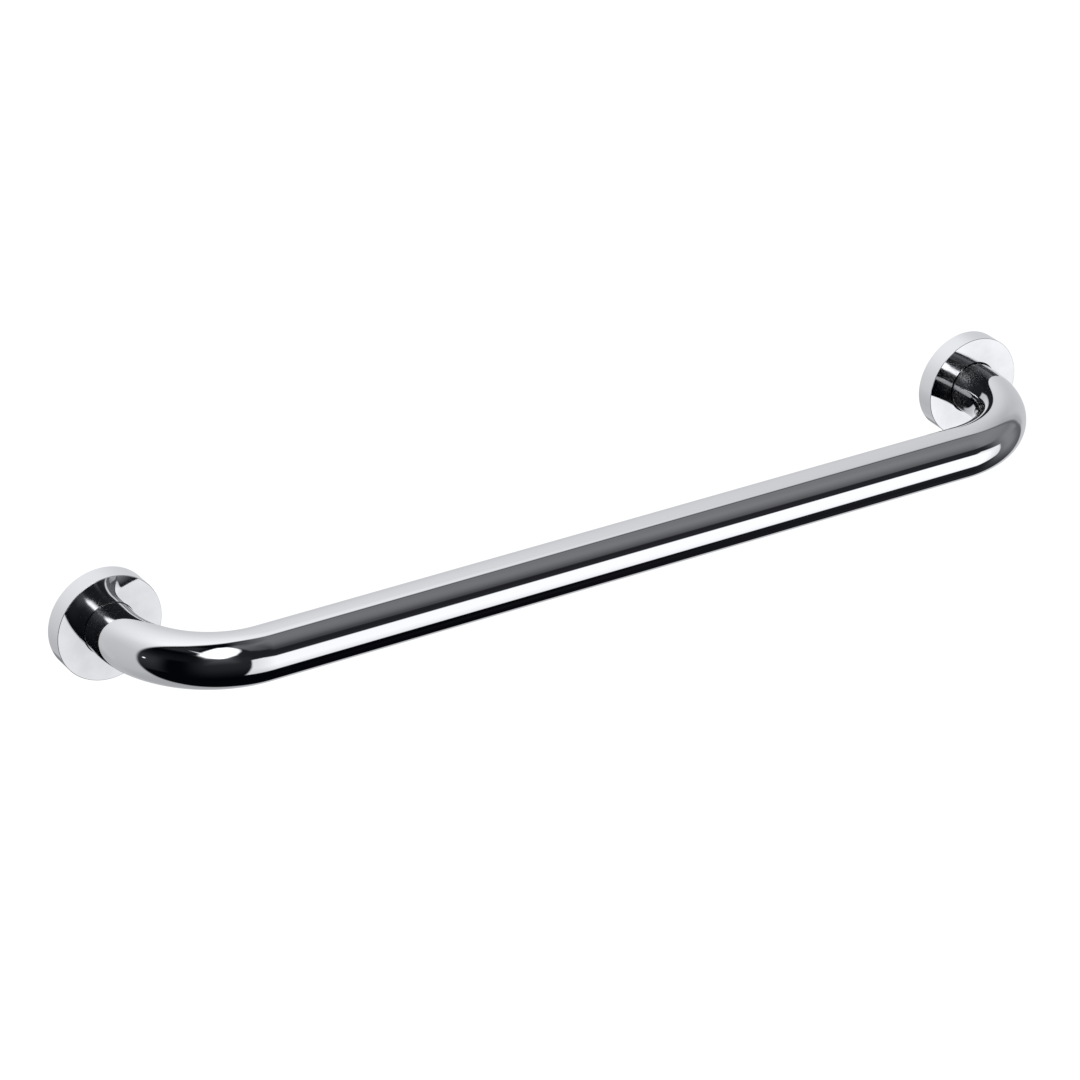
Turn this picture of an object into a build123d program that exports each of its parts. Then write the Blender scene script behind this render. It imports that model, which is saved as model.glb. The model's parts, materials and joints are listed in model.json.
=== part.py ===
from build123d import *

import os

# Wall grab bar. One round tube, bent at both ends, is welded into two wall plates.
# A drawn cover slides along each leg and snaps over its plate, so the screws are hidden.
#
# Frame: the wall is the plane Y = 0 and the room is on its -Y side. X runs along the bar
# and Z is up. The origin is on the wall, midway between the two fixing centres.
# All sizes are in millimetres.

# Bent tube
fixing_centres = 600.0  # between the centres of the two wall plates
tube_diameter = 32.0
tube_wall = 1.5
bend_radius = 60.0  # of the tube's centre line
straight_leg_shown = 8.0  # between the front of a cover and the start of the bend
tube_end_recess = 0.5  # keeps the cut ends of the tube off the wall

# Wall plate, a thick disc that the tube is welded into
plate_thickness = 5.0
weld_leg = 3.0  # of the fillet weld round the tube, on the front of the plate

# Screw holes, between the weld and the rim of the plate
screw_count = 3
screw_hole_diameter = 5.5
screw_head_diameter = 10.0
screw_head_margin = 1.0  # of flat plate on the inner and outer side of a screw's head

# Cover, a cup drawn from sheet
cover_depth = 12.0
cover_sheet = 0.8
cover_edge_chamfer = 0.5  # outside, between the flat front and the rim
cover_rim_clearance = 0.7  # between the plate and the inside of the rim
tube_hole_clearance = 0.7  # round the tube, where it passes through the front

# Snap nibs, which stand out of the plate's rim between the screws and hold the cover
nib_radius = 1.5
nib_clearance = 0.05  # left between a nib and the cover

# Sizes that follow
tube_radius = tube_diameter / 2
projection = cover_depth + straight_leg_shown + bend_radius  # from the wall to the centre line
weld_toe_radius = tube_radius + weld_leg
screw_circle_radius = weld_toe_radius + screw_head_margin + screw_head_diameter / 2
plate_radius = screw_circle_radius + screw_head_diameter / 2 + screw_head_margin
cover_bore_radius = plate_radius + cover_rim_clearance
cover_radius = cover_bore_radius + cover_sheet
tube_hole_radius = tube_radius + tube_hole_clearance

ON_WALL = (Align.CENTER, Align.CENTER, Align.MIN)


def bent_tube():
    """One length of round tube, swept along a centre line of straight runs and two bends."""
    half = fixing_centres / 2
    centre_line = FilletPolyline(
        (-half, -tube_end_recess),
        (-half, -projection),
        (half, -projection),
        (half, -tube_end_recess),
        radius=bend_radius,
    )
    cut_end = Plane(origin=centre_line @ 0, z_dir=centre_line % 0)
    ring = Circle(tube_radius) - Circle(tube_radius - tube_wall)
    return sweep(cut_end * ring, path=centre_line)


# The pieces of a fixing are modelled on a wall plane of their own: its origin is the fixing's
# centre, its Z points into the room, and its X points away from the middle of the bar.


def weld():
    """The fillet weld: a triangle between the plate's front and the tube, turned round the tube."""
    root = (tube_radius, plate_thickness)
    toe_on_plate = (weld_toe_radius, plate_thickness)
    toe_on_tube = (tube_radius, plate_thickness + weld_leg)
    section = make_face(Polyline(root, toe_on_plate, toe_on_tube, close=True).edges())
    return revolve(Plane.XZ * section, Axis.Z)


def wall_plate():
    """A disc bored for the tube, with its weld, its screw holes and nibs between the screws."""
    plate = Cylinder(plate_radius, plate_thickness, align=ON_WALL)

    nib = Cylinder(nib_radius, plate_thickness, align=ON_WALL)
    nib_circle_radius = cover_bore_radius - nib_clearance - nib_radius
    half_pitch = 180 / screw_count
    for place in PolarLocations(nib_circle_radius, screw_count, start_angle=half_pitch):
        plate += place * nib

    plate -= Cylinder(tube_radius, plate_thickness, align=ON_WALL)
    screw_hole = Cylinder(screw_hole_diameter / 2, plate_thickness, align=ON_WALL)
    for place in PolarLocations(screw_circle_radius, screw_count):
        plate -= place * screw_hole
    return plate + weld()


def cover():
    """A drawn cup, open at the wall, with a hole in its front that clears the tube."""
    outside = Cylinder(cover_radius, cover_depth, align=ON_WALL)
    front_edge = outside.edges().group_by(Axis.Z)[-1]
    outside = chamfer(front_edge, cover_edge_chamfer)
    inside = Cylinder(cover_bore_radius, cover_depth - cover_sheet, align=ON_WALL)
    tube_hole = Cylinder(tube_hole_radius, cover_depth, align=ON_WALL)
    return outside - inside - tube_hole


def fixing_plane(side):
    """The wall plane of the left fixing, side -1, or of the right one, side 1."""
    centre = (side * fixing_centres / 2, 0, 0)
    return Plane(origin=centre, x_dir=(side, 0, 0), z_dir=(0, -1, 0))


def grab_bar():
    """Every piece of the bar in its place, by name."""
    pieces = {"grab_tube": bent_tube()}
    for name, side in {"left": -1, "right": 1}.items():
        on_wall = fixing_plane(side)
        pieces[f"{name}_wall_plate"] = on_wall * wall_plate()
        pieces[f"{name}_cover"] = on_wall * cover()
    return pieces


os.makedirs("parts", exist_ok=True)
for name, piece in grab_bar().items():
    piece.label = name
    export_step(piece, f"parts/{name}.step")
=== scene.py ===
# %% [markdown]
# # A chromed grab bar
#
# The real bar is one length of round tube, bent towards the wall at both ends and welded into two wall
# plates. Each plate is screwed to the wall, and a cup drawn from thin sheet slides down the leg and hides it.
# Tube and covers are bright chrome, so almost all that the eye sees on them is a mirror image of the room.
# This lesson therefore has two halves: surfaces with exact normals, and a studio worth mirroring.
#
# The first cell loads the solid model. It is the fixed frame: nothing below moves it or changes its size.

import json

import bpy
import numpy as np
from mathutils import Matrix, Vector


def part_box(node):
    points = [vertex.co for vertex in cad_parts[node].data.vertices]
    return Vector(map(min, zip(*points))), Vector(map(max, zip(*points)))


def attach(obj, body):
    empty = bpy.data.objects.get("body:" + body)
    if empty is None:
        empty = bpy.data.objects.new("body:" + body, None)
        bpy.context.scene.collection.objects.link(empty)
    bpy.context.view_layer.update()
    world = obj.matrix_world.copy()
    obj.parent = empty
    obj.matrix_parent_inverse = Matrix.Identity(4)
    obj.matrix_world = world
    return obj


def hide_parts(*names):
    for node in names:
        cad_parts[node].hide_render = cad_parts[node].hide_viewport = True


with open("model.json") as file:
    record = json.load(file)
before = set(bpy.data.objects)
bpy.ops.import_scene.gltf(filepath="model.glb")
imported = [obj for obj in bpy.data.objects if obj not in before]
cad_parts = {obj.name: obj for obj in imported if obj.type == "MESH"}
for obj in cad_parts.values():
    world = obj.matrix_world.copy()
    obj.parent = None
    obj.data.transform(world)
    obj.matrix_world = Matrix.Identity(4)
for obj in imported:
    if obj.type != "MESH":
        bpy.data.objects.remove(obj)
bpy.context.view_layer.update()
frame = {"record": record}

# %% [markdown]
# ## Sizes
#
# The wall is the plane y = 0, the room is on its -y side, and lengths are in metres.
# What can be measured on the solids is measured, to a tenth of a millimetre, because a round solid arrives
# as flat facets and its box can be a few hundredths short. The screw holes are read from the mounts in the
# record. The few sizes that no box shows, such as the bend, are written out.

# %% Measure the solids
MM = 0.001


def corners_of(node):
    """The lowest and highest corner of a solid's box, each number rounded to a tenth of a millimetre."""
    low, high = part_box(node)
    return np.round(low, 4), np.round(high, 4)


tube_low, tube_high = corners_of("grab_tube")
tube_radius = (tube_high[2] - tube_low[2]) / 2
tube_end_recess = -tube_high[1]  # the cut ends stop just short of the wall
fixing_x = tube_high[0] - tube_radius  # each fixing is this far from the middle of the bar
projection = -tube_low[1] - tube_radius  # from the wall to the centre line

cover_low, cover_high = corners_of("right_cover")
cover_radius = (cover_high[2] - cover_low[2]) / 2
cover_depth = -cover_low[1]

plate_low, plate_high = corners_of("right_wall_plate")
plate_radius = plate_high[0] - fixing_x
weld_top = -plate_low[1]  # from the wall to the upper edge of the weld

outer_holes = {m["name"]: m["dims"] for m in frame["record"]["mounts"]}["outer_screw_holes"]
screw_hole_radius = outer_holes["hole_r_mm"] * MM
screw_circle_radius = outer_holes["spacing_x_mm"] * MM / 2 - fixing_x
print("tube radius", tube_radius, "fixing", fixing_x, "projection", projection)
print("cover radius", cover_radius, "depth", cover_depth, "plate radius", plate_radius)
print("screw circle", screw_circle_radius, "hole radius", screw_hole_radius)

# %% Sizes that no box shows
bend_radius = 60 * MM  # of the tube's centre line
tube_wall = 1.5 * MM
cover_sheet = 0.8 * MM
cover_edge_radius = 0.35 * MM  # where the flat front turns into the rim
cover_lip_radius = 0.2 * MM  # of the edge that is left round the tube
tube_gap = {"left": 0.25 * MM, "right": 0.7 * MM}  # between a cover and the tube, where it shows
front_lean = {"left": (1, -1), "right": (2.5, 0)}  # degrees of the normals, sideways and upwards
weld_leg = 3 * MM
plate_thickness = weld_top - weld_leg
nib_radius = 1.5 * MM  # three small bumps on the plate's rim hold the cover
nib_clearance = 0.05 * MM
print("bend radius", bend_radius, "plate thickness", round(plate_thickness, 4))

# %% [markdown]
# ## Patches
#
# A mirror shows every error of a surface, so the normals matter as much as the points. Blender can average
# normals from the faces, but next to a large flat face that average is a little off, and what is mirrored
# bends. So each piece here is put together from patches: a patch is a grid of points, and beside it a grid of
# the normals that the formula gives. Where two patches share a border their points are merged, which closes
# the seams, while each face keeps the normals of its own patch, so an edge can be sharp.
# A third grid holds two lengths for each point, round and along the piece. They become its surface map.

# %% Join patches into one mesh
MERGE = 1e-7  # points closer than this, in metres, are one point


def patch_quads(rows, columns):
    """The four corner numbers of each cell of a grid: a point, its right neighbour and the two below."""
    number = np.arange(rows * columns).reshape(rows, columns)
    corners = [number[:-1, :-1], number[:-1, 1:], number[1:, 1:], number[1:, :-1]]
    return np.stack(corners, axis=-1).reshape(-1, 4)


def outward_quads(points, normals):
    """The cells of a patch, turned over if their diagonals' cross product points against the normals."""
    quads = patch_quads(*points.shape[:2])
    corner = points.reshape(-1, 3)[quads]
    facing = np.cross(corner[:, 2] - corner[:, 0], corner[:, 3] - corner[:, 1])
    agrees = np.sum(facing * normals.reshape(-1, 3)[quads[:, 0]])
    return quads if agrees > 0 else quads[:, ::-1]


def joined_grids(patches, part):
    """One long list of all the patches' points, or of their normals, or of their surface lengths."""
    return np.concatenate([patch[part].reshape(-1, patch[part].shape[-1]) for patch in patches])


def mesh_from_patches(name, patches):
    """One closed mesh from (points, normals, surface) patches. Points that coincide are merged."""
    quads, offset = [], 0
    for points, normals, _ in patches:
        quads.append(outward_quads(points, normals) + offset)
        offset += points.shape[0] * points.shape[1]
    quads = np.concatenate(quads)
    points, normals, surface = (joined_grids(patches, part) for part in range(3))

    # Points in one cell of a fine lattice are one. The offset keeps round numbers off the cells' borders.
    cell = np.floor(points / MERGE + np.sqrt(0.5)).astype(np.int64)
    first, merged = np.unique(cell, axis=0, return_index=True, return_inverse=True)[1:]
    mesh = bpy.data.meshes.new(name)
    mesh.from_pydata(points[first].tolist(), [], merged.reshape(-1)[quads].tolist())
    mesh.polygons.foreach_set("use_smooth", np.ones(len(quads), bool))
    uv = mesh.uv_layers.new(name="surface")
    uv.data.foreach_set("uv", surface[quads].astype(np.float32).ravel())
    mesh.normals_split_custom_set(normals[quads].reshape(-1, 3).tolist())
    mesh.validate()
    return mesh


# %% Put a piece in its place


def count_open_edges(mesh):
    """How many edges don't have exactly two faces. A closed piece has none."""
    edge_of_corner = np.zeros(len(mesh.loops), np.int32)
    mesh.loops.foreach_get("edge_index", edge_of_corner)
    return int(np.sum(np.bincount(edge_of_corner, minlength=len(mesh.edges)) != 2))


def place_piece(name, patches, material, node):
    """A piece in its place: it stands for one solid, rides with the bar and takes one slot's finish."""
    piece = bpy.data.objects.new(name, mesh_from_patches(name, patches))
    bpy.context.scene.collection.objects.link(piece)
    piece.data.materials.append(material)
    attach(piece, "root")
    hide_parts(node)
    open_edges = count_open_edges(piece.data)
    print(name, "has", len(piece.data.polygons), "faces and", open_edges, "open edges")


# %% [markdown]
# ## Bright chrome
#
# Chrome plate is a mirror, a little grey and a little cool. A perfect mirror looks false, because real plate
# is buffed by hand: its gloss changes slightly in long streaks, and the steel below is never quite flat.
# Close to the wall the buffing wheel can't reach, so there the legs keep a haze of fine scratches.
# All this is far too small to model, so it is noise. Some of it sets the roughness, and some, microns high,
# bends the normal. It follows the piece's own surface map, so streaks run along the tube also where it bends.

# %% Nodes of a finish


def new_node(tree, kind, inputs=(), **settings):
    """A node with its settings. Each input, by name or number, gets a value or a link from another node."""
    node = tree.nodes.new(kind)
    for setting, value in settings.items():
        setattr(node, setting, value)
    for socket, value in dict(inputs).items():
        if isinstance(value, bpy.types.NodeSocket):
            tree.links.new(value, node.inputs[socket])
        else:
            node.inputs[socket].default_value = value
    return node


def new_finish(name):
    """A metal, its nodes, its principled shader, and the piece's own surface map as a node gives it."""
    material = bpy.data.materials.new(name)
    material.use_nodes = True
    tree = material.node_tree
    shader = tree.nodes["Principled BSDF"]
    shader.inputs["Metallic"].default_value = 1
    return material, tree, shader, new_node(tree, "ShaderNodeUVMap", uv_map="surface").outputs["UV"]


def stretched_noise(tree, where, lengths, detail, location=(0, 0, 0)):
    """Noise from 0 to 1, with grains about as long as the two given lengths, round and along the piece."""
    stretch = {"Vector": where, "Scale": (1 / lengths[0], 1 / lengths[1], 1), "Location": location}
    stretched = new_node(tree, "ShaderNodeMapping", stretch).outputs["Vector"]
    grain = {"Vector": stretched, "Scale": 1, "Detail": detail}
    return new_node(tree, "ShaderNodeTexNoise", grain).outputs["Fac"]


def between(tree, value, low, high, first=0.3, last=0.7):
    """Maps a value from the range first to last, where most noise lies, to the range from low to high."""
    ends = {"From Min": first, "From Max": last, "To Min": low, "To Max": high}
    return new_node(tree, "ShaderNodeMapRange", {"Value": value, **ends}).outputs["Result"]


def tinted(tree, share, low, high):
    """A colour between low and high, by a share from 0 to 1. Each is a colour or the output of a node."""
    ends = {"Factor": share, "A": low, "B": high}
    return new_node(tree, "ShaderNodeMix", ends, data_type="RGBA").outputs["Result"]


def bend_normal(tree, shader, height, distance):
    """Lets a height map bend the shader's normal; distance is how high, in metres, a height of 1 stands."""
    bump = new_node(tree, "ShaderNodeBump", {"Height": height, "Distance": distance})
    tree.links.new(bump.outputs["Normal"], shader.inputs["Normal"])


def part_of(tree, where, axis):
    """One number of a vector: axis is X, Y or Z."""
    return new_node(tree, "ShaderNodeSeparateXYZ", {"Vector": where}).outputs[axis]


# %% Chrome for the tube
MICRON = 1e-6
CHROME = (0.795, 0.80, 0.805, 1)
RAW_STEEL = (0.40, 0.39, 0.375, 1)
BUFFED = (0.02, 0.05)  # the least and the most roughness of a surface
SCRATCHED = (0.03, 0.5)
DRAWN = (0.32, 0.5)
BUFF_STREAK = (1.5 * MM, 40 * MM)  # the lengths of a grain, round and along the tube
SCRATCH = (1.2 * MM, 0.22 * MM)
DRAWN_STREAK = (0.6 * MM, 30 * MM)
TUBE_WAVE = (18 * MM, 45 * MM)
WAVE_HEIGHT = 6 * MICRON
WAVE_START = (3, 7, 0)  # waves take another stretch of the noise than streaks do
FULL_HAZE, NO_HAZE = 18 * MM, 34 * MM  # from the wall
LEFT_HAZE = 0.4  # the left end has this share of the right end's haze
INSIDE_MAP = 1.0  # the surface map of the tube's inside starts this many metres further round


def polish(tree, where, streak):
    """The roughness of buffed chrome, a little different from streak to streak."""
    return between(tree, stretched_noise(tree, where, streak, detail=4), *BUFFED)


def make_wavy(tree, shader, where, wave):
    """Bends the normal by smooth noise, with waves of the given lengths and a few microns high."""
    unevenness = stretched_noise(tree, where, wave, detail=0, location=WAVE_START)
    bend_normal(tree, shader, unevenness, WAVE_HEIGHT)


def tube_finish():
    """Bright chrome with streaks along the tube, hazy near the wall. Inside is drawn steel without plate."""
    material, tree, shader, where = new_finish("tube_chrome")
    round_tube = part_of(tree, where, "X")
    inside = between(tree, round_tube, 0, 1, first=INSIDE_MAP / 2, last=INSIDE_MAP * 0.6)
    drawn = between(tree, stretched_noise(tree, where, DRAWN_STREAK, detail=3), *DRAWN)
    place = new_node(tree, "ShaderNodeTexCoord").outputs["Object"]
    near_wall = between(tree, part_of(tree, place, "Y"), 0, 1, first=-NO_HAZE, last=-FULL_HAZE)
    more_right = between(tree, part_of(tree, place, "X"), LEFT_HAZE, 1, first=-fixing_x, last=fixing_x)
    haze = between(tree, near_wall, 0, more_right, first=0, last=1)
    scratches = stretched_noise(tree, where, SCRATCH, detail=3)
    scratched = between(tree, scratches, *SCRATCHED, first=0.5, last=0.62)  # the upper half of the noise
    bright = between(tree, haze, polish(tree, where, BUFF_STREAK), scratched, first=0, last=1)
    tree.links.new(tinted(tree, inside, CHROME, RAW_STEEL), shader.inputs["Base Color"])
    tree.links.new(between(tree, inside, bright, drawn, first=0, last=1), shader.inputs["Roughness"])
    make_wavy(tree, shader, where, TUBE_WAVE)
    return material


tube_chrome = tube_finish()
print("finish:", tube_chrome.name)

# %% Chrome for the covers
# The front's colours are painted shade: the front is darker than the rim, and darker still near the tube.
RIM_CHROME = (0.88, 0.885, 0.89, 1)
FRONT_SHADE_CHROME = (0.62, 0.625, 0.63, 1)
CLEAR_CHROME = (0.75, 0.755, 0.76, 1)
CLOUD_SIZE = 12 * MM
BUFF_RING = (30 * MM, 0.7 * MM)
COVER_WAVE = (20 * MM, 20 * MM)
FRONT_WIDTH = cover_radius - tube_radius


def cover_finish():
    """Bright rim. The front, buffed round and round, is darker: painted shade, deepest at the tube."""
    material, tree, shader, where = new_finish("cover_chrome")
    place = new_node(tree, "ShaderNodeTexCoord").outputs["Object"]
    edge = cover_edge_radius - cover_depth
    front = between(tree, part_of(tree, place, "Y"), 0, 1, first=edge, last=-cover_depth)
    cloud = {"Vector": place, "Scale": 1 / CLOUD_SIZE, "Detail": 2}
    clouds = new_node(tree, "ShaderNodeTexNoise", cloud).outputs["Fac"]
    from_tube = part_of(tree, where, "Y")
    # Painted shade: the front's colour darkens towards the tube, where the leg stands. The clouds vary it at
    # random.
    least = between(tree, from_tube, 0, 0.5, first=0, last=FRONT_WIDTH)
    most = between(tree, from_tube, 0.5, 1, first=0, last=FRONT_WIDTH)
    clouds_and_painted_shade = tinted(tree, between(tree, clouds, least, most), FRONT_SHADE_CHROME, CLEAR_CHROME)
    tree.links.new(tinted(tree, front, RIM_CHROME, clouds_and_painted_shade), shader.inputs["Base Color"])
    tree.links.new(polish(tree, where, BUFF_RING), shader.inputs["Roughness"])
    make_wavy(tree, shader, where, COVER_WAVE)
    return material


cover_chrome = cover_finish()
print("finish:", cover_chrome.name)

# %% [markdown]
# ## The bent tube
#
# A curve with a round bevel would give the shape in two lines, but neither its normals nor its rows could be
# chosen. Here the tube is a circle carried along a path. The path lies flat at the height of the fixings:
# a short leg, a quarter turn, the long grip, a quarter turn and a leg back to the wall. Each stretch is one
# formula, and each gives the point on the centre line and the direction in which the tube runs there.

# %% The centre line
BEND_ROWS = 80
LEG_ROWS = 6
GRIP_ROWS = 40


def straight_run(start, end, rows):
    """Points spread evenly from start to end, and the unit direction from start to end at each of them."""
    start, end = np.array(start), np.array(end)
    share = np.linspace(0, 1, rows + 1)[:, None]
    along = (end - start) / np.linalg.norm(end - start)
    return start + share * (end - start), np.broadcast_to(along, (rows + 1, 2))


def quarter_turn(centre, first_angle, rows):
    """Points at the bend radius from a centre over 90 degrees, and the direction square to each radius."""
    angle = np.radians(first_angle) + np.linspace(0, np.pi / 2, rows + 1)[:, None]
    radial = np.hstack([np.cos(angle), np.sin(angle)])
    along = np.hstack([-np.sin(angle), np.cos(angle)])
    return np.array(centre) + bend_radius * radial, along


def centre_line():
    """The path in the plane z = 0 from the left fixing to the right: points, directions, distances run."""
    bend_x, bend_y = fixing_x - bend_radius, bend_radius - projection
    runs = [
        straight_run((-fixing_x, -tube_end_recess), (-fixing_x, bend_y), LEG_ROWS),
        quarter_turn((-bend_x, bend_y), 180, BEND_ROWS),
        straight_run((-bend_x, -projection), (bend_x, -projection), GRIP_ROWS),
        quarter_turn((bend_x, bend_y), 270, BEND_ROWS),
        straight_run((fixing_x, bend_y), (fixing_x, -tube_end_recess), LEG_ROWS),
    ]
    points = np.concatenate([runs[0][0]] + [run[0][1:] for run in runs[1:]])
    along = np.concatenate([runs[0][1]] + [run[1][1:] for run in runs[1:]])
    steps = np.linalg.norm(np.diff(points, axis=0), axis=1)
    return points, along, np.concatenate([[0], np.cumsum(steps)])


path, path_along, path_run = centre_line()
print("the tube is", round(float(path_run[-1]), 4), "m long on its centre line, in", len(path), "rows")

# %% Skins and cut ends
TUBE_COLUMNS = 192


def tube_skin(radius, outward, map_start):
    """A circle carried along the path: the point at an angle is the path's point, plus the radius times the
    cosine of the angle sideways and its sine upwards. The normal is the same direction, or its opposite
    inside the tube."""
    angle = np.linspace(0, 2 * np.pi, TUBE_COLUMNS + 1)
    sideways = np.stack([-path_along[:, 1], path_along[:, 0], np.zeros(len(path))], axis=1)
    upwards = np.array([0, 0, 1])
    radial = np.cos(angle)[None, :, None] * sideways[:, None] + np.sin(angle)[None, :, None] * upwards
    middle = np.column_stack([path, np.zeros(len(path))])
    surface = np.stack(np.broadcast_arrays(map_start + angle * radius, path_run[:, None]), axis=-1)
    return middle[:, None] + radius * radial, outward * radial, surface


def cut_end(outer, inner, row, direction):
    """The flat ring between the two skins at one end: its two rows are the skins' own last rows."""
    points = np.stack([outer[0][row], inner[0][row]])
    normal = np.append(direction * path_along[row], 0)
    return points, np.broadcast_to(normal, points.shape), np.stack([inner[2][row], inner[2][row]])


outer_skin = tube_skin(tube_radius, 1, 0)
inner_skin = tube_skin(tube_radius - tube_wall, -1, INSIDE_MAP)
left_end = cut_end(outer_skin, inner_skin, 0, -1)
right_end = cut_end(outer_skin, inner_skin, -1, 1)
tube_patches = [outer_skin, inner_skin, left_end, right_end]
place_piece("chromed_tube", tube_patches, tube_chrome, "grab_tube")

# %% [markdown]
# ## The covers
#
# Each cover is a cup pressed from 0.8 mm sheet: a flat front, a small round edge, a plain rim that stands on
# the wall, and a hole that clears the tube. It is a body of revolution, so its formula is a profile turned
# about the leg's axis. The profile is a chain of lines and arcs. An arc brings its own radii as normals, so
# the round edge, about a third of a millimetre wide, draws the fine line that the eye reads as folded metal.
# A loose cup never sits quite true. The gap round the tube is wider at the right cover, and both fronts
# mirror the legs at a slight slant, so their normals lean by a degree or two while the faces stay flat.

# %% Lines, arcs and turning
TURN_COLUMNS = 288
ARC_ROWS = 10


def profile_line(start, end):
    """A straight stretch of a profile of (radius, depth) points. Its normal is its direction turned left."""
    points = np.array([start, end])
    direction = (points[1] - points[0]) / np.linalg.norm(points[1] - points[0])
    return points, np.broadcast_to([-direction[1], direction[0]], (2, 2))


def profile_arc(centre, radius, first, last):
    """A round stretch: centre plus radius times cosine and sine of an angle that runs from first to last."""
    angle = np.radians(np.linspace(first, last, ARC_ROWS + 1))
    radial = np.column_stack([np.cos(angle), np.sin(angle)])
    return np.array(centre) + radius * radial, radial


def turned(stretch, centre_x):
    """A profile turned about a leg's axis: a point at (radius, depth) goes round a circle of that radius, at
    that distance from the wall. Its normal goes round with it."""
    (radius, depth), (out, up) = stretch[0].T[:, :, None], stretch[1].T[:, :, None]
    angle = np.linspace(0, 2 * np.pi, TURN_COLUMNS + 1)[None]
    level = np.ones_like(angle)
    points = np.stack([centre_x + radius * np.cos(angle), -depth * level, radius * np.sin(angle)], axis=-1)
    normals = np.stack([out * np.cos(angle), -up * level, out * np.sin(angle)], axis=-1)
    steps = np.linalg.norm(np.diff(stretch[0], axis=0), axis=1)
    along = np.concatenate([[0], np.cumsum(steps)])
    surface = np.stack(np.broadcast_arrays(angle * cover_radius, along[:, None]), axis=-1)
    return points, normals, surface


# %% The cup's profile


def cover_profile(gap):
    """The closed profile: rim, round edge, front, lip round the tube, inside, and the edge on the wall."""
    hole = tube_radius + gap
    bore = cover_radius - cover_sheet
    shoulder = cover_radius - cover_edge_radius
    bend_depth = cover_depth - cover_edge_radius
    inside = cover_depth - cover_sheet
    lip = cover_lip_radius
    return [
        profile_line((cover_radius, bend_depth), (cover_radius, 0)),
        profile_arc((shoulder, bend_depth), cover_edge_radius, 0, 90),
        profile_line((hole + lip, cover_depth), (shoulder, cover_depth)),
        profile_arc((hole + lip, cover_depth - lip), lip, 90, 180),
        profile_line((hole, inside), (hole, cover_depth - lip)),
        profile_line((bore, inside), (hole, inside)),
        profile_line((bore, 0), (bore, inside)),
        profile_line((cover_radius, 0), (bore, 0)),
    ]


def leaning(patch, degrees):
    """A flat patch whose normals all lean by the given degrees, sideways and upwards."""
    points, _, surface = patch
    sideways, upwards = np.tan(np.radians(degrees))
    normal = np.array([sideways, -1, upwards])
    return points, np.broadcast_to(normal / np.linalg.norm(normal), points.shape), surface


# %% Put the covers over the legs
FRONT = 2  # the front's place in the profile

for side, centre_x in {"left": -fixing_x, "right": fixing_x}.items():
    cup = [turned(stretch, centre_x) for stretch in cover_profile(tube_gap[side])]
    cup[FRONT] = leaning(cup[FRONT], front_lean[side])
    place_piece(f"{side}_chromed_cover", cup, cover_chrome, f"{side}_cover")

# %% [markdown]
# ## The wall plates and their welds
#
# Under each cover is a turned steel disc. The tube goes through its bore and is welded on all round, three
# screws hold the disc to the wall, and three small nibs on its rim grip the cover. Holes could be cut with a
# boolean, but that leaves long thin triangles, and the weld's ripples would have nothing to follow.
# Here the disc is six equal sectors, three with a screw hole and three with a nib. In a nib's sector a grid
# runs from the weld to the rim. In a hole's sector it starts at the hole and runs to the sector's border.
# Neighbours use the same angles and radii on their common border, so the whole disc closes.

# %% The disc's outline
SECTOR_STEPS = 18  # on each side of a nib
NIB_STEPS = 12
screw_pitch = 2 * np.pi / 3
nib_circle_radius = cover_radius - cover_sheet - nib_clearance - nib_radius
# Half of the angle that a nib takes up, by the law of cosines.
nib_sides = plate_radius**2 + nib_circle_radius**2 - nib_radius**2
nib_reach = np.arccos(nib_sides / (2 * plate_radius * nib_circle_radius))


def sector_angles(middle):
    """Angles across one of the six sectors, closer together in its middle, where a nib may be."""
    flank = np.linspace(-screw_pitch / 4, -nib_reach, SECTOR_STEPS + 1)
    nib = np.linspace(-nib_reach, nib_reach, NIB_STEPS + 1)
    return middle + np.concatenate([flank, nib[1:-1], -flank[::-1]])


def rim_radius(angle):
    """The rim: the disc's radius, or a nib where that stands out further. At an angle from a nib's middle,
    the nib's radius is c cos + sqrt(r^2 - c^2 sin^2), with r its own radius and c its circle's."""
    off = angle % screw_pitch - screw_pitch / 2
    root = nib_radius**2 - (nib_circle_radius * np.sin(off)) ** 2
    nib = nib_circle_radius * np.cos(off) + np.sqrt(np.maximum(root, 0))
    return np.maximum(plate_radius, nib)


screw_middles = screw_pitch * np.arange(3)
nib_middles = screw_middles + screw_pitch / 2
round_angles = np.concatenate([sector_angles(m)[:-1] for m in np.arange(6) * screw_pitch / 2])
round_angles = np.append(round_angles, round_angles[0] + 2 * np.pi)
print("a nib takes up", round(float(np.degrees(2 * nib_reach)), 2), "degrees")

# %% From radius, angle and depth to the room


def plate_patch(side, radius, angle, depth):
    """A patch at given radii, angles and depths. Angles start on the side away from the middle of the bar, so
    the left plate is the right one turned half round. The normal is the cross product of the direction from
    row to row and the direction along a row: it points out if the rows go round the section from the weld."""
    radius, angle, depth = np.broadcast_arrays(radius, angle, depth)
    x = side * (fixing_x + radius * np.cos(angle))
    z = side * radius * np.sin(angle)
    points = np.stack([x, -depth, z], axis=-1)
    normals = np.cross(np.gradient(points, axis=0), np.gradient(points, axis=1))
    normals /= np.linalg.norm(normals, axis=-1, keepdims=True)
    return points, normals, np.stack([angle * screw_circle_radius, radius - depth], axis=-1)


def round_hole(side, middle, turn, distance, depth):
    """A patch given by directions and distances from a screw hole's middle. They are changed to the disc's
    own radius and angle: the length and the direction of the line from the disc's centre to the point."""
    east = screw_circle_radius + distance * np.cos(turn)
    north = distance * np.sin(turn)
    return plate_patch(side, np.hypot(east, north), middle + np.arctan2(north, east), depth)


# %% Flat faces
FACE_ROWS = 12
edge_break = 0.3 * MM  # every sharp edge of the disc is broken with a file


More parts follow.
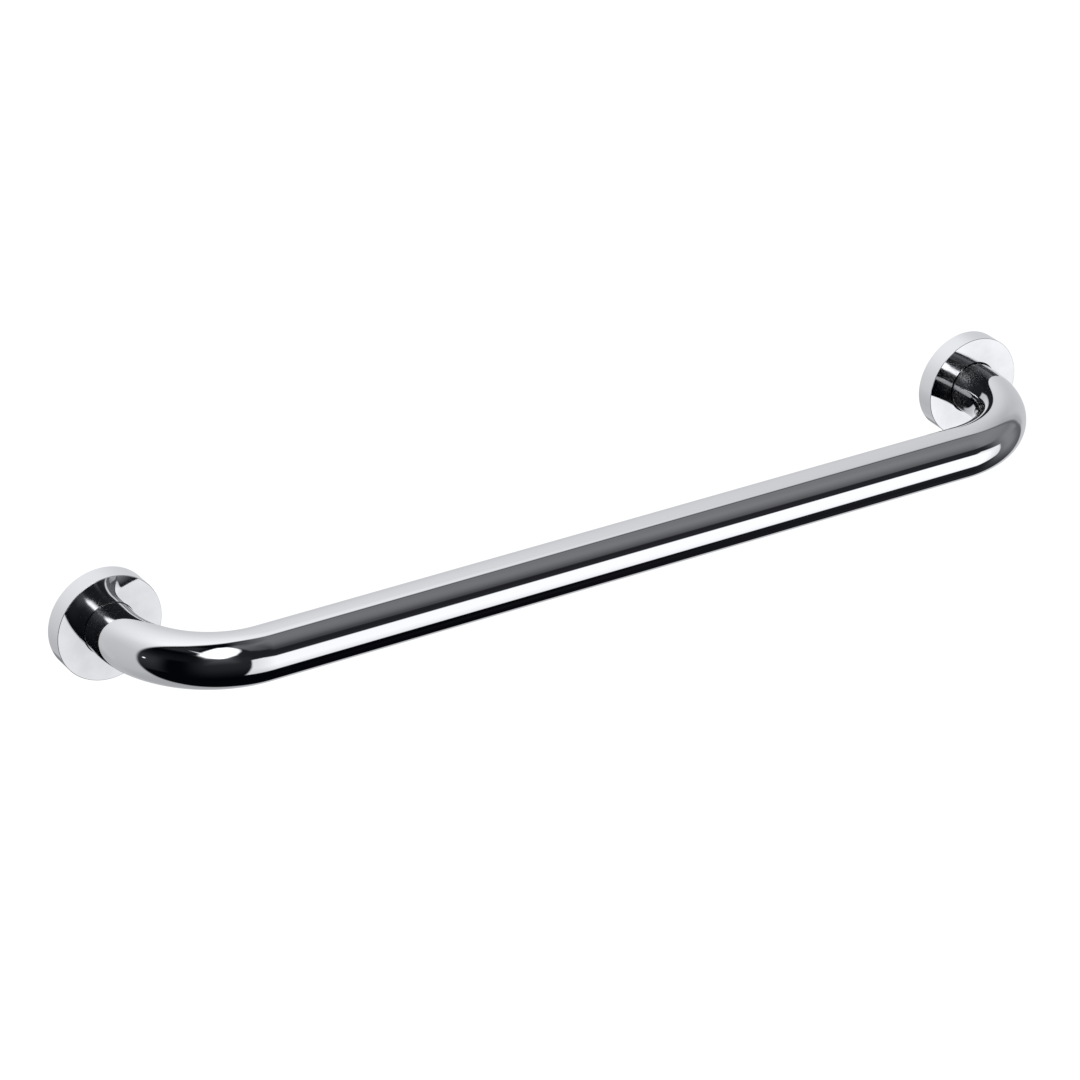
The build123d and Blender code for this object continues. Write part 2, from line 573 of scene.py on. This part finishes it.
def face_share(into_room):
    """Shares from 0 to 1 for the rows of a face. They run outwards on the front and inwards on the back."""
    share = np.linspace(0, 1, FACE_ROWS + 1)[:, None]
    return share if into_room else 1 - share


def nib_sector(side, middle, inner, depth):
    """The flat face between an inner circle and the rim, over a sector with a nib."""
    angle = sector_angles(middle)
    outer = rim_radius(angle) - edge_break
    return plate_patch(side, inner + face_share(depth > 0) * (outer - inner), angle, depth)


def seen_from_hole(middle, inner):
    """Once round a hole sector's border: out along one side, along the rim, in along the other side and back
    along the inner circle. Gives the direction and the distance of each point from the hole's middle."""
    angle = sector_angles(0)
    outer = rim_radius(angle + middle) - edge_break
    side_radii = np.linspace(inner, outer[0], FACE_ROWS + 1)
    radius = np.concatenate([side_radii[:-1], outer[:-1], side_radii[:0:-1], np.full(len(angle), inner)])
    level = np.ones(FACE_ROWS)
    bearing = np.concatenate([angle[0] * level, angle[:-1], angle[-1] * level, angle[::-1]])
    east = radius * np.cos(bearing) - screw_circle_radius
    north = radius * np.sin(bearing)
    return np.unwrap(np.arctan2(north, east)), np.hypot(east, north)


def hole_sector(side, middle, inner, depth):
    """The flat face round a screw hole: each column runs straight from the hole to the sector's border."""
    turn, distance = seen_from_hole(middle, inner)
    edge = screw_hole_radius + edge_break
    return round_hole(side, middle, turn, edge + face_share(depth > 0) * (distance - edge), depth)


# %% Rim, hole walls and bore


def stretches(side, radii, angle, depths):
    """Narrow patches, one between each two neighbours in a list of radii and depths, with sharp edges."""
    ends = zip(radii[:-1], radii[1:], depths[:-1], depths[1:])
    return [plate_patch(side, np.stack([r0, r1]), angle, np.array([[d0], [d1]])) for r0, r1, d0, d1 in ends]


def rim_and_bore(side):
    """The rim and its broken edges, from front to back, and the bore from the back to the weld's top."""
    rim = rim_radius(round_angles)
    bore = np.full(len(round_angles), tube_radius)
    edge_depths = [plate_thickness, plate_thickness - edge_break, edge_break, 0]
    rim_patches = stretches(side, [rim - edge_break, rim, rim, rim - edge_break], round_angles, edge_depths)
    return rim_patches + stretches(side, [bore, bore], round_angles, [0, weld_top])


def hole_wall(side, middle):
    """A screw hole from the back to the front: bevel, straight wall, bevel. Its columns turn a little on the
    way, because the two faces meet the hole in different directions."""
    back = seen_from_hole(middle, tube_radius)[0]
    front = seen_from_hole(middle, tube_radius + weld_leg)[0]
    depth = np.array([0, edge_break, plate_thickness - edge_break, plate_thickness])[:, None]
    radius = screw_hole_radius + edge_break * np.array([1, 0, 0, 1])[:, None]
    turn = back + (front - back) * depth / plate_thickness
    return [round_hole(side, middle, turn[i:i + 2], radius[i:i + 2], depth[i:i + 2]) for i in range(3)]


# %% The weld
BEAD_ROWS = 14
bead_count = 48  # ripples in one turn, one for each drop of the filler rod
bead_swell = 0.35 * MM
bead_ripple = 0.2 * MM
bead_trail = 2  # by this many radians the middle of a ripple trails behind its ends


def weld_bead(side):
    """From the tube down to the disc: a slope of 45 degrees that swells by 4 s (1 - s), s being the share of
    the way. Ripples, the cosine of the angle without its sign, ride on the swelling and trail behind."""
    share = np.linspace(0, 1, BEAD_ROWS + 1)[:, None]
    swelling = 4 * share * (1 - share)
    ripple = np.abs(np.cos(bead_count / 2 * round_angles + bead_trail * swelling))
    rise = swelling * (bead_swell + bead_ripple * ripple) * np.sqrt(0.5)
    radius = tube_radius + share * weld_leg + rise
    return plate_patch(side, radius, round_angles, weld_top - share * weld_leg + rise)


# %% [markdown]
# ## Turned steel
#
# The plate is bare steel. A lathe leaves fine rings on it, and the weld's heat leaves colours beside the
# bead: blue next to it, then brown, then straw. Both depend on the distance from the tube, which the surface
# map holds, so a ramp over that distance paints the heat, and noise that is long round the disc and short
# across it cuts the rings.

# %% Steel for the plates
STEEL = (0.56, 0.56, 0.55, 1)
BEAD_GREY = (0.47, 0.46, 0.45, 1)
HEAT_COLOURS = {0.06: (0.33, 0.36, 0.46, 1), 0.2: (0.46, 0.37, 0.34, 1), 0.5: (0.60, 0.53, 0.41, 1)}
HEAT_WIDTH = 6 * MM
TURNED = (0.24, 0.42)
LATHE_RING = (90 * MM, 0.4 * MM)
RING_HEIGHT = 3 * MICRON


def plate_finish():
    """Bare turned steel with rings round the bore and the weld's heat colours beside it."""
    material, tree, shader, where = new_finish("plate_steel")
    weld_edge = tube_radius + weld_leg - plate_thickness
    from_tube = part_of(tree, where, "Y")
    from_weld = between(tree, from_tube, 0, 1, first=weld_edge, last=weld_edge + HEAT_WIDTH)
    heat = new_node(tree, "ShaderNodeValToRGB", {"Fac": from_weld})
    stops = heat.color_ramp.elements
    stops[0].color = BEAD_GREY
    stops[1].color = STEEL
    for position, colour in HEAT_COLOURS.items():
        stops.new(position).color = colour
    rings = stretched_noise(tree, where, LATHE_RING, detail=3)
    tree.links.new(heat.outputs["Color"], shader.inputs["Base Color"])
    tree.links.new(between(tree, rings, *TURNED), shader.inputs["Roughness"])
    bend_normal(tree, shader, rings, RING_HEIGHT)
    return material


plate_steel = plate_finish()
print("finish:", plate_steel.name)

# %% Put the plates together


def plate_and_weld(side):
    """All patches of one plate."""
    weld_toe = tube_radius + weld_leg
    patches = [weld_bead(side), *rim_and_bore(side)]
    for inner, depth in ((weld_toe, plate_thickness), (tube_radius, 0)):
        patches += [nib_sector(side, middle, inner, depth) for middle in nib_middles]
        patches += [hole_sector(side, middle, inner, depth) for middle in screw_middles]
    for middle in screw_middles:
        patches += hole_wall(side, middle)
    return patches


for name, side in {"left": -1, "right": 1}.items():
    patches = plate_and_weld(side)
    place_piece(f"{name}_plate_and_weld", patches, plate_steel, f"{name}_wall_plate")

# %% [markdown]
# ## The studio
#
# Chrome has no colour of its own, so the picture is made by what stands round it: a dark room with a wide
# soft light low in front, another overhead on the left, a grey wall on the right and a bright screen behind.
# Lamps and boards in the scene would work, but each would need a place and a size. What matters to a mirror
# is only the direction in which each panel is seen, so the studio is painted on the sky.
# A panel is a polygon of corner directions. Two corners and the eye span a plane, and a point of the sky is
# inside the panel if it is on the inner side of all those planes. The nearest plane sets how far inside,
# which gives the panel a soft edge; its softness is in degrees, for all sides or for each. Tones are written
# as the grey, 0 to 255, that they should leave in the finished picture. A panel lies over those before it,
# and one that is within another shows only inside that one.

# %% Directions and tones
CHROME_RETURNS = 0.8  # the share of the light that chrome gives back
COOL_CAST = np.array([0, 0.8, 4.2])  # the studio's greys lean a little to blue


def direction(azimuth, elevation):
    """A unit vector: azimuth in degrees from straight into the room towards +x, elevation above level."""
    a, e = np.radians(azimuth), np.radians(elevation)
    return np.array([np.sin(a) * np.cos(e), -np.cos(a) * np.cos(e), np.sin(e)])


def radiance(tone):
    """The light that chrome has to meet so that its picture shows this grey."""
    grey = np.clip((tone + COOL_CAST) / 255, 0, None)
    linear = np.where(grey > 0.04045, ((grey + 0.055) / 1.055) ** 2.4, grey / 12.92)
    return (*(linear / CHROME_RETURNS), 1)


print("a tone of 128 asks for a light of", np.round(radiance(128)[:3], 3))

# %% An empty sky
studio = bpy.data.worlds.new("studio")
bpy.context.scene.world = studio
studio.use_nodes = True
sky_tree = studio.node_tree
sky_tree.nodes.clear()
looking = new_node(sky_tree, "ShaderNodeTexCoord").outputs["Generated"]
height = part_of(sky_tree, looking, "Z")
bpy.context.scene.view_settings.view_transform = "Standard"  # so that a tone comes out as it was written
print("world:", studio.name)

# %% Panels


def combined(first, second, operation):
    """Two numbers of the sky put together by one operation, such as the lesser of them or their product."""
    return new_node(sky_tree, "ShaderNodeMath", {0: first, 1: second}, operation=operation).outputs["Value"]


def panel_planes(corners, softness):
    """One vector for each side of a panel. A direction times it runs from -1 to 1 across the soft edge."""
    corner = np.array([direction(*c) for c in corners])
    planes = np.cross(corner, np.roll(corner, -1, axis=0))
    planes /= np.linalg.norm(planes, axis=1)[:, None]
    planes *= np.sign(planes @ corner.mean(axis=0))[:, None]
    return planes / np.sin(np.radians(np.broadcast_to(softness, len(corners))))[:, None]


def inside_panel(corners, softness):
    """How far inside a panel a direction is, from 0 outside to 1 inside. The side with the least counts."""
    least = None
    for plane in panel_planes(corners, softness):
        side = new_node(sky_tree, "ShaderNodeVectorMath", {0: looking, 1: plane}, operation="DOT_PRODUCT")
        value = side.outputs["Value"]
        least = value if least is None else combined(least, value, "MINIMUM")
    across = {"Value": least, "From Min": -1}
    return new_node(sky_tree, "ShaderNodeMapRange", across, interpolation_type="SMOOTHSTEP").outputs["Result"]


def tones_by_height(tones):
    """A ramp of greys over the elevation: its position is half of one plus the sine of the elevation."""
    share = between(sky_tree, height, 0, 1, first=-1, last=1)
    ramp = new_node(sky_tree, "ShaderNodeValToRGB", {"Fac": share})
    stops = ramp.color_ramp.elements
    for i, (elevation, tone) in enumerate(sorted(tones.items())):
        position = (1 + np.sin(np.radians(elevation))) / 2
        stop = stops[i] if i < 2 else stops.new(position)  # a new ramp has two stops
        stop.position = position
        stop.color = radiance(tone)
    return ramp.outputs["Color"]


def painted(sky, mask, tones):
    """The sky so far with a panel painted over it: one grey all over, or a dict of greys by elevation."""
    grey = tones_by_height(tones) if isinstance(tones, dict) else radiance(tones)
    return tinted(sky_tree, mask, sky, grey)


# %% Hang the studio's panels
room = {
    "front_wall": dict(
        corners=[(-41, 55), (10, 55), (10, -56), (-41, -56)],
        softness=(10, 8, 8, 14),
        tones={-50: 3, -40: 9, -25: 21, -10: 31, 0: 35, 15: 38, 40: 39},
    ),
    "front_corner": dict(
        corners=[(-5, 52), (46, 48), (66, 10), (66, 0), (-5, 0)],
        softness=6,
        tones={2: 33, 18: 36, 26: 37, 36: 32},
    ),
    "left_corner": dict(
        corners=[(-84, 46), (-42, 46), (-42, 22), (-72, 22)],
        softness=4,
        tones={22: 18, 34: 16, 46: 10},
    ),
    "left_strip": dict(
        corners=[(-96, 42), (-71, 34), (-71, -27), (-96, -27)],
        softness=(8, 8, 4, 6),
        tones={-22: 32, -10: 40, 5: 46, 14: 45, 20: 40, 28: 28, 36: 18},
    ),
    "left_ceiling": dict(
        corners=[(-90, 57), (-48, 57), (-48, 80), (-90, 80)],
        softness=3,
        tones=37,
    ),
    "right_floor": dict(
        corners=[(44, -39), (64, -27), (106, -42), (106, -63), (58, -61)],
        softness=(3, 3, 3, 3, 4),
        tones={-62: 8, -55: 21, -45: 28, -35: 36},
    ),
    "right_wall": dict(
        corners=[(59, 24), (102, 24), (108, -58), (76, -57), (59, -20)],
        softness=(3, 4, 4, 8, 16),
        tones={-54: 32, -48: 45, -42: 60, -36: 76, -30: 92, -24: 108, -15: 122, 4: 126, 12: 126, 24: 115},
    ),
    "wall_shade": dict(
        corners=[(87, 3), (106, 3), (106, -32), (87, -32)],
        softness=(5, 5, 5, 9),
        tones=92,
    ),
    "upper_wall": dict(
        corners=[(28, 33.5), (36, 24.5), (60, 20), (104, 19), (112, 58), (115, 79), (28, 79)],
        softness=(2, 2, 3, 4, 4, 3, 3),
        tones={20: 113, 30: 119, 40: 123, 50: 122, 58: 115, 66: 109, 80: 60},
    ),
    "wall_shadow": dict(
        corners=[(5, 62), (37.3, 62), (37.3, 18), (5, 18)],
        softness=(8, 14, 3, 3),
        tones=30,
    ),
    "upper_corner": dict(
        corners=[(13, 51), (20, 44), (31, 37.5), (47, 79), (15, 79)],
        softness=(3, 3, 5, 3, 1.5),
        tones={38: 58, 44: 67, 50: 73, 56: 82, 62: 90, 70: 98},
    ),
    "screen_frame": dict(
        corners=[(91, 0), (94, 38), (98, 64), (150, 68), (150, -30), (96, -28)],
        softness=(2, 2, 3, 4, 4, 3),
        tones={-28: 84, 0: 98, 35: 101, 50: 100, 57: 56},
    ),
    "low_light_left": dict(
        corners=[(4.6, 16), (14, 15.4), (30, 7), (30, -8), (4, -8)],
        softness=1.5,
        tones={8: 232, 16: 224},
    ),
    "low_light_right": dict(
        corners=[(33, 4.2), (40, 8.2), (62, 1.9), (62, -20), (33, -20)],
        softness=(1.5, 1.5, 2, 1.5, 1.5),
        tones=235,
    ),
    "low_light": dict(
        corners=[(4.4, 13.5), (30, 6), (62, -5), (62, -23.5), (42, -39.2), (2.2, -41)],
        softness=(1.5, 1.5, 2, 1.5, 1.5, 1.5),
        tones={-39: 208, -30: 216, -15: 224, 15: 222},
    ),
    "low_light_heart": dict(
        corners=[(18, 18), (53, 12), (53, -36), (36, -38.5), (19, -20.5)],
        softness=(9, 9, 5, 12, 13),
        tones=254,
        within="low_light",
    ),
    "small_lamp": dict(
        corners=[(-86, 9.5), (-84.3, 9.5), (-84.3, 7), (-86, 7)],
        softness=1.2,
        tones=330,
    ),
    "back_screen_left": dict(
        corners=[
            (126, 72), (140, 81), (180, 84), (-110, 80), (-97, 66), (-92.5, 38), (-91, 0),
            (-89.5, -20), (-90.5, -48), (-95, -66), (-104, -76), (180, -82.5), (132, -73),
        ],
        softness=2,
        tones={-76: 160, -58: 167, -46: 177, -20: 183, 5: 187, 20: 190, 32: 198, 44: 209, 56: 227, 68: 244},
    ),
    "back_screen_right": dict(
        corners=[
            (98, 0), (99.5, 25), (101, 38), (106, 61), (-130, 64),
            (-130, -38), (128, -58), (114.5, -48), (109, -38), (103.5, -22),
        ],
        softness=(4, 4, 3, 3, 16, 5, 3, 3, 2.5, 3),
        tones={-64: 150, -50: 182, -38: 192, 0: 195, 15: 204, 26: 210, 38: 217, 50: 224, 60: 231, 72: 240},
    ),
    "screen_shade": dict(
        corners=[(70, 54), (112, 55), (122, 48), (129, 40), (133, 32), (135, 22), (135, -60), (70, -60)],
        softness=(8, 24, 24, 24, 24, 24, 12, 10),
        tones={-36: 188, -10: 190, 4: 189, 12: 186, 24: 181, 33: 170, 48: 169},
        within="back_screen_right",
    ),
    "screen_edge": dict(
        corners=[(88, 34), (101, 34), (101, -8), (88, -8)],
        softness=8,
        tones=135,
        within="back_screen_right",
    ),
    "low_back": dict(
        corners=[(178, 10), (-138, 10), (-132, -40), (-150, -52), (172, -52)],
        softness=8,
        tones={-45: 172, -37: 170, -29: 175, -17: 185, -3: 192, 10: 198},
    ),
    "low_dark": dict(
        corners=[(152, -31), (176, -34), (178, -42), (152, -41)],
        softness=(6, 4, 3, 5),
        tones=105,
    ),
}
print("panels:", ", ".join(room))

# %% Paint the panels on the sky
base_tone = 4  # of the dark between the panels
sky = radiance(base_tone)
masks = {}
for name, panel in room.items():
    masks[name] = inside_panel(panel["corners"], panel["softness"])
    if "within" in panel:
        masks[name] = combined(masks[name], masks[panel["within"]], "MULTIPLY")
    sky = painted(sky, masks[name], panel["tones"])
print("the studio has", len(room), "panels")

# %% [markdown]
# ## The light overhead
#
# One light hangs so near that its place matters: the right end of the bar sees it further to the left than
# the left end does. So it isn't painted on the sky but hung in the room, as a sheet two metres away. The
# sheet is part of a ball round the left bend, so its panels are still polygons of directions. Its heart is
# brighter than white, as a real lamp is, so that hazy chrome still shows a white streak. Each point of the
# sheet keeps the light that the panels add up to there, and how much of the sky behind it they cover.

# %% The panels of the light overhead
overhead = {
    "glow": dict(
        corners=[(-29, 50), (-11, 50), (-11, 22), (-29, 22)],
        softness=(8, 9, 14, 9),
        tones=75,
    ),
    "fringe": dict(
        corners=[(-13, 34), (-34, 35), (-44, 50), (-4, 50)],
        softness=4,
        tones=95,
    ),
    "light": dict(
        corners=[
            (-15.5, 36.4), (-22.5, 35.6), (-34, 40), (-43, 49), (-45, 56), (-41, 65),
            (-28, 80), (12, 80), (11.5, 70), (9.5, 63), (4.5, 55.5), (-4.5, 44.5),
        ],
        softness=(1.8, 1.8, 2.5, 2, 1.5, 2, 2, 2, 1.5, 1.5, 1.5, 1.8),
        tones=262,
    ),
    "light_heart": dict(
        corners=[
            (-19, 37), (-32, 42.5), (-39.5, 50.5), (-41, 56), (-37.5, 63.5), (-24, 77),
            (8, 77), (7.5, 70), (5.5, 64), (0.5, 57.5), (-6.5, 48),
        ],
        softness=2,
        tones=320,
    ),
    "tail": dict(
        corners=[(-38, 52), (-57, 64.5), (-38, 58)],
        softness=1.2,
        tones=250,
    ),
}
print("panels:", ", ".join(overhead))

# %% The light at each point of the sheet
LIGHT_CENTRE = np.array([-0.265, -0.085, 0.005])
LIGHT_DISTANCE = 2.0
LIGHT_AZIMUTHS = np.linspace(-66, 22, 177)  # a point for every half degree
LIGHT_ELEVATIONS = np.linspace(4, 83, 159)
azimuth, elevation = np.meshgrid(LIGHT_AZIMUTHS, LIGHT_ELEVATIONS)
way = np.moveaxis(direction(azimuth, elevation), 0, -1)
light = np.zeros((*azimuth.shape, 4))
for panel in overhead.values():
    nearest = (way @ panel_planes(panel["corners"], panel["softness"]).T).min(axis=-1)
    ramp = np.clip((nearest + 1) / 2, 0, 1)[..., None]
    share = ramp ** 2 * (3 - 2 * ramp)  # the same soft edge as on the sky
    light += share * (radiance(panel["tones"]) - light)
print("the light overhead covers", round(float(light[..., 3].mean()), 3), "of its sheet")

# %% Hang the sheet
sheet_mesh = bpy.data.meshes.new("light_sheet")
sheet_points = (LIGHT_CENTRE + LIGHT_DISTANCE * way).reshape(-1, 3)
sheet_mesh.from_pydata(sheet_points.tolist(), [], patch_quads(*azimuth.shape).tolist())
kept_light = sheet_mesh.attributes.new("light", "FLOAT_COLOR", "POINT")
kept_light.data.foreach_set("color", light.astype(np.float32).ravel())

sheet_glow = bpy.data.materials.new("light_sheet")
sheet_glow.use_nodes = True
glow_tree = sheet_glow.node_tree
glow_tree.nodes.clear()
kept = new_node(glow_tree, "ShaderNodeAttribute", attribute_name="light").outputs
given = new_node(glow_tree, "ShaderNodeEmission", {"Color": kept["Color"]})
left_open = new_node(glow_tree, "ShaderNodeMath", {0: 1, 1: kept["Alpha"]}, operation="SUBTRACT")
behind = new_node(glow_tree, "ShaderNodeBsdfTransparent", {"Color": left_open.outputs["Value"]})
both = new_node(glow_tree, "ShaderNodeAddShader", {0: given.outputs["Emission"], 1: behind.outputs["BSDF"]})
new_node(glow_tree, "ShaderNodeOutputMaterial", {"Surface": both.outputs["Shader"]})

sheet_mesh.materials.append(sheet_glow)
light_sheet = bpy.data.objects.new("light_sheet", sheet_mesh)
bpy.context.scene.collection.objects.link(light_sheet)
light_sheet.visible_camera = False
light_sheet.visible_diffuse = False
light_sheet.visible_shadow = False
print("the sheet has", len(sheet_mesh.polygons), "faces")

# %% [markdown]
# ## White all round
#
# Behind the bar the picture is plain white, with no horizon and no shadow. The camera therefore sees a white
# sky, while every mirrored ray sees the studio. The floor is a pale plane about as far below the bar as in a
# bathroom. It gives off its own white light, so it needs no lamp, and the chrome doesn't see it. Its
# underside is left open, so that the bar can be looked at from below too.

# %% A white sky for the camera
WHITE = 1.05  # a little more than the picture can show, so that no grain is left in it

seen = new_node(sky_tree, "ShaderNodeBackground", {"Color": sky}).outputs["Background"]
bright = {"Color": (1, 1, 1, 1), "Strength": WHITE}
plain_white = new_node(sky_tree, "ShaderNodeBackground", bright).outputs["Background"]
for_camera = new_node(sky_tree, "ShaderNodeLightPath").outputs["Is Camera Ray"]
choose = new_node(sky_tree, "ShaderNodeMixShader", {"Fac": for_camera, 1: seen, 2: plain_white})
new_node(sky_tree, "ShaderNodeOutputWorld", {"Surface": choose.outputs["Shader"]})
print("the sky has", len(sky_tree.nodes), "nodes")

# %% A white floor
FLOOR_BELOW = 0.9
FLOOR_SIZE = 30.0

floor_white = bpy.data.materials.new("floor_white")
floor_white.use_nodes = True
floor_tree = floor_white.node_tree
floor_shader = floor_tree.nodes["Principled BSDF"]
floor_shader.inputs["Base Color"].default_value = (0, 0, 0, 1)
floor_shader.inputs["Specular IOR Level"].default_value = 0
floor_shader.inputs["Emission Color"].default_value = (1, 1, 1, 1)
floor_shader.inputs["Emission Strength"].default_value = WHITE
underneath = new_node(floor_tree, "ShaderNodeNewGeometry").outputs["Backfacing"]
nothing = new_node(floor_tree, "ShaderNodeBsdfTransparent").outputs["BSDF"]
sides = {"Fac": underneath, 1: floor_shader.outputs["BSDF"], 2: nothing}
open_below = new_node(floor_tree, "ShaderNodeMixShader", sides).outputs["Shader"]
floor_tree.links.new(open_below, floor_tree.nodes["Material Output"].inputs["Surface"])

floor_corner = np.array([(-1, -1, 0), (1, -1, 0), (1, 1, 0), (-1, 1, 0)]) * FLOOR_SIZE / 2
floor_mesh = bpy.data.meshes.new("floor")
floor_mesh.from_pydata((floor_corner - [0, 0, FLOOR_BELOW]).tolist(), [], [(0, 1, 2, 3)])
floor_mesh.materials.append(floor_white)
floor = bpy.data.objects.new("floor", floor_mesh)
bpy.context.scene.collection.objects.link(floor)
floor.visible_glossy = False
floor.visible_diffuse = False
floor.visible_shadow = False
print("floor at", -FLOOR_BELOW, "m")

# %% [markdown]
# ## The camera
#
# The photograph was taken from the bar's left and from above, with a long lens: the two ends are almost the
# same size. Its azimuth, elevation, roll, distance and lens were found by fitting the bar's outline to it.
# The matrix is built from three directions: to the camera's right, up, and backwards from what it looks at.

# %% Look from the photograph's place
camera_azimuth, camera_elevation = -32.452, 28.437
camera_roll = np.radians(1.007)
camera_target = np.array([-34.586, -40.0, -3.61]) * MM
camera_distance = 2576.4 * MM
camera_lens = 147.58  # this and the sensor's width are in millimetres
camera_sensor = 36

back = direction(camera_azimuth, camera_elevation)
level_right = direction(camera_azimuth + 90, 0)
level_up = np.cross(back, level_right)
right = np.cos(camera_roll) * level_right + np.sin(camera_roll) * level_up
up = np.cross(back, right)
matrix = np.eye(4)
matrix[:3, :3] = np.column_stack([right, up, back])
matrix[:3, 3] = camera_target + back * camera_distance

camera = bpy.data.objects.new("camera", bpy.data.cameras.new("camera"))
camera.data.lens = camera_lens
camera.data.sensor_width = camera_sensor
camera.data.clip_end = 100  # past the floor's far edge
camera.matrix_world = Matrix(matrix)
bpy.context.scene.collection.objects.link(camera)
bpy.context.scene.camera = camera
print("camera at", np.round(matrix[:3, 3], 3))
